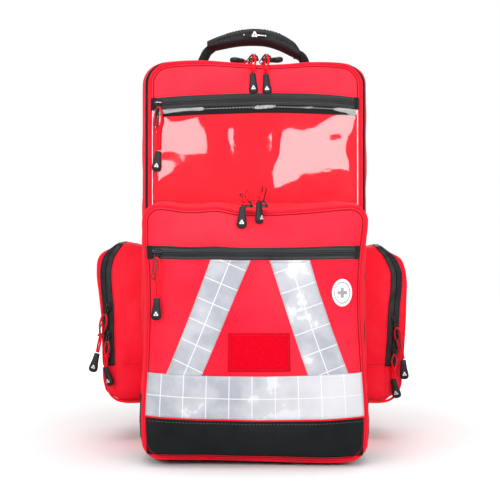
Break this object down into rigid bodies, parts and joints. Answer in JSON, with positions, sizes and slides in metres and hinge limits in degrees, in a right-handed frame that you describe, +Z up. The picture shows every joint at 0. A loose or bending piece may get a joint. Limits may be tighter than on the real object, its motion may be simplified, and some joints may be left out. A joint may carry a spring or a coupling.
{
  "type": "trauma backpack",
  "caption": "Large red responder backpack with U-zipped compartments, deep front pocket, side pockets, clear window pocket, reflective strips, top handle and padded harness.",
  "frame": {"origin": "on the flat underside of the rear compartment, midway between the sides", "axes": "+Z up, -Y towards the bag's front, +X to the right as seen from the front"},
  "size_m": [0.483, 0.3823, 0.637],
  "materials": {
    "red_fabric": "woven polyester, matt",
    "black_coated": "coated tarpaulin, soft gloss",
    "zip_tape": "woven zip tape",
    "sealed_zip": "coated water-resistant zip",
    "clear_film": "clear flexible vinyl",
    "reflective": "silver retroreflective with a grid",
    "loop_pile": "hook-and-loop pile",
    "patch_white": "white moulded patch",
    "webbing": "woven webbing",
    "black_rubber": "moulded, satin",
    "stiffener": "sheet",
    "mesh_padding": "spacer mesh over foam",
    "black_plastic": "moulded",
    "slider_metal": "black enamelled zinc",
    "pull_rubber": "moulded grip on a red cord and wire loop"
  },
  "bodies": {
    "carrier": {"back_shell": "red_fabric", "base_boot": "black_coated", "rear_zip_tape": "zip_tape", "side_pocket_left": "red_fabric", "side_pocket_right": "red_fabric", "side_tape_left": "zip_tape", "side_tape_right": "zip_tape", "handle_anchors": "webbing", "frame_sheet": "stiffener", "back_pad": "mesh_padding", "shoulder_strap_left": "mesh_padding", "shoulder_strap_right": "mesh_padding", "strap_webbing": "webbing", "sternum_strap": "webbing", "hip_belt": "mesh_padding", "hip_buckle": "black_plastic"},
    "mid_section": {"mid_shell": "red_fabric", "front_zip_tape": "zip_tape"},
    "main_lid": {"lid_panel": "red_fabric", "window_film": "clear_film", "window_zip": "sealed_zip", "pocket_shell": "red_fabric", "pocket_boot": "black_coated", "pocket_zip_tape": "zip_tape"},
    "pocket_lid": {"pocket_panel": "red_fabric", "panel_zip": "sealed_zip", "reflective_band": "reflective", "lower_panel": "black_coated", "strip_left": "reflective", "strip_right": "reflective", "loop_panel": "loop_pile", "round_patch": "patch_white"},
    "side_lid_left": {"side_panel_left": "red_fabric"},
    "side_lid_right": {"side_panel_right": "red_fabric"},
    "handle": {"handle_webbing": "webbing", "handle_grip": "black_rubber"},
    "slider_rear_left": {"slider_rear_left": "slider_metal"},
    "pull_rear_left": {"pull_rear_left": "pull_rubber"},
    "slider_rear_right": {"slider_rear_right": "slider_metal"},
    "pull_rear_right": {"pull_rear_right": "pull_rubber"},
    "slider_front_left": {"slider_front_left": "slider_metal"},
    "pull_front_left": {"pull_front_left": "pull_rubber"},
    "slider_front_right": {"slider_front_right": "slider_metal"},
    "pull_front_right": {"pull_front_right": "pull_rubber"},
    "slider_window": {"slider_window": "slider_metal"},
    "pull_window": {"pull_window": "pull_rubber"},
    "slider_panel": {"slider_panel": "slider_metal"},
    "pull_panel": {"pull_panel": "pull_rubber"},
    "slider_pocket_left": {"slider_pocket_left": "slider_metal"},
    "pull_pocket_left": {"pull_pocket_left": "pull_rubber"},
    "slider_pocket_right": {"slider_pocket_right": "slider_metal"},
    "pull_pocket_right": {"pull_pocket_right": "pull_rubber"},
    "slider_side_left_upper": {"slider_side_left_upper": "slider_metal"},
    "pull_side_left_upper": {"pull_side_left_upper": "pull_rubber"},
    "slider_side_left_lower": {"slider_side_left_lower": "slider_metal"},
    "pull_side_left_lower": {"pull_side_left_lower": "pull_rubber"},
    "slider_side_right_upper": {"slider_side_right_upper": "slider_metal"},
    "pull_side_right_upper": {"pull_side_right_upper": "pull_rubber"},
    "slider_side_right_lower": {"slider_side_right_lower": "slider_metal"},
    "pull_side_right_lower": {"pull_side_right_lower": "pull_rubber"}
  },
  "joints": [
    {"name": "mid_section_hinge", "type": "hinge", "parent": "carrier", "child": "mid_section", "pos_m": [0, -0.012, 0], "axis": [1, 0, 0], "range_deg": [0, 95]},
    {"name": "main_lid_hinge", "type": "hinge", "parent": "mid_section", "child": "main_lid", "pos_m": [0, -0.0885, 0], "axis": [1, 0, 0], "range_deg": [0, 95]},
    {"name": "pocket_lid_hinge", "type": "hinge", "parent": "main_lid", "child": "pocket_lid", "pos_m": [0, -0.2055, 0.008], "axis": [1, 0, 0], "range_deg": [0, 90]},
    {"name": "side_lid_left_hinge", "type": "hinge", "parent": "carrier", "child": "side_lid_left", "pos_m": [-0.236, 0.033, 0.115], "axis": [0, -1, 0], "range_deg": [0, 95]},
    {"name": "side_lid_right_hinge", "type": "hinge", "parent": "carrier", "child": "side_lid_right", "pos_m": [0.236, 0.033, 0.115], "axis": [0, 1, 0], "range_deg": [0, 95]},
    {"name": "handle_hinge", "type": "hinge", "parent": "carrier", "child": "handle", "pos_m": [0, 0.045, 0.574], "axis": [-1, 0, 0], "range_deg": [-60, 60]},
    {"name": "slider_rear_left_travel", "type": "slide", "parent": "mid_section", "child": "slider_rear_left", "axis": [-1, 0, 0], "range_m": [0, 0.112]},
    {"name": "pull_rear_left_swing", "type": "hinge", "parent": "slider_rear_left", "child": "pull_rear_left", "pos_m": [-0.01, -0.012, 0.5695], "axis": [-1, 0, 0], "range_deg": [0, 100]},
    {"name": "slider_rear_right_travel", "type": "slide", "parent": "mid_section", "child": "slider_rear_right", "axis": [1, 0, 0], "range_m": [0, 0.108]},
    {"name": "pull_rear_right_swing", "type": "hinge", "parent": "slider_rear_right", "child": "pull_rear_right", "pos_m": [0.014, -0.012, 0.5695], "axis": [-1, 0, 0], "range_deg": [0, 100]},
    {"name": "slider_front_left_travel", "type": "slide", "parent": "main_lid", "child": "slider_front_left", "axis": [-1, 0, 0], "range_m": [0, 0.118]},
    {"name": "pull_front_left_swing", "type": "hinge", "parent": "slider_front_left", "child": "pull_front_left", "pos_m": [0, -0.0885, 0.5691], "axis": [-1, 0, 0], "range_deg": [0, 105]},
    {"name": "slider_front_right_travel", "type": "slide", "parent": "main_lid", "child": "slider_front_right", "axis": [1, 0, 0], "range_m": [0, 0.098]},
    {"name": "pull_front_right_swing", "type": "hinge", "parent": "slider_front_right", "child": "pull_front_right", "pos_m": [0.019, -0.0885, 0.5691], "axis": [-1, 0, 0], "range_deg": [0, 105]},
    {"name": "slider_window_travel", "type": "slide", "parent": "main_lid", "child": "slider_window", "axis": [1, 0, 0], "range_m": [0, 0.274]},
    {"name": "pull_window_swing", "type": "hinge", "parent": "slider_window", "child": "pull_window", "pos_m": [-0.136, -0.1053, 0.4985], "axis": [-1, 0, 0], "range_deg": [0, 105]},
    {"name": "slider_panel_travel", "type": "slide", "parent": "pocket_lid", "child": "slider_panel", "axis": [1, 0, 0], "range_m": [0, 0.256]},
    {"name": "pull_panel_swing", "type": "hinge", "parent": "slider_panel", "child": "pull_panel", "pos_m": [-0.128, -0.2218, 0.2845], "axis": [-1, 0, 0], "range_deg": [0, 105]},
    {"name": "slider_pocket_left_travel", "type": "slide", "parent": "pocket_lid", "child": "slider_pocket_left", "axis": [-1, 0, 0], "range_m": [0, 0.1]},
    {"name": "pull_pocket_left_swing", "type": "hinge", "parent": "slider_pocket_left", "child": "pull_pocket_left", "pos_m": [-0.009, -0.204, 0.3525], "axis": [-1, 0, 0], "range_deg": [0, 105]},
    {"name": "slider_pocket_right_travel", "type": "slide", "parent": "pocket_lid", "child": "slider_pocket_right", "axis": [1, 0, 0], "range_m": [0, 0.1]},
    {"name": "pull_pocket_right_swing", "type": "hinge", "parent": "slider_pocket_right", "child": "pull_pocket_right", "pos_m": [0.011, -0.204, 0.3525], "axis": [-1, 0, 0], "range_deg": [0, 105]},
    {"name": "slider_side_left_upper_travel", "type": "slide", "parent": "side_lid_left", "child": "slider_side_left_upper", "axis": [0, 0, 1], "range_m": [0, 0.07]},
    {"name": "pull_side_left_upper_swing", "type": "hinge", "parent": "slider_side_left_upper", "child": "pull_side_left_upper", "pos_m": [-0.2195, -0.0335, 0.201], "axis": [-1, 0, 0], "range_deg": [0, 105]},
    {"name": "slider_side_left_lower_travel", "type": "slide", "parent": "side_lid_left", "child": "slider_side_left_lower", "axis": [0, 0, 1], "range_m": [-0.025, 0.004]},
    {"name": "pull_side_left_lower_swing", "type": "hinge", "parent": "slider_side_left_lower", "child": "pull_side_left_lower", "pos_m": [-0.2195, -0.0335, 0.16], "axis": [-1, 0, 0], "range_deg": [0, 105]},
    {"name": "slider_side_right_upper_travel", "type": "slide", "parent": "side_lid_right", "child": "slider_side_right_upper", "axis": [0, 0, 1], "range_m": [0, 0.08]},
    {"name": "pull_side_right_upper_swing", "type": "hinge", "parent": "slider_side_right_upper", "child": "pull_side_right_upper", "pos_m": [0.212, -0.0335, 0.181], "axis": [-1, 0, 0], "range_deg": [0, 105]},
    {"name": "slider_side_right_lower_travel", "type": "slide", "parent": "side_lid_right", "child": "slider_side_right_lower", "axis": [0, 0, 1], "range_m": [-0.014, 0]},
    {"name": "pull_side_right_lower_swing", "type": "hinge", "parent": "slider_side_right_lower", "child": "pull_side_right_lower", "pos_m": [0.212, -0.0335, 0.14], "axis": [-1, 0, 0], "range_deg": [0, 105]}
  ]
}
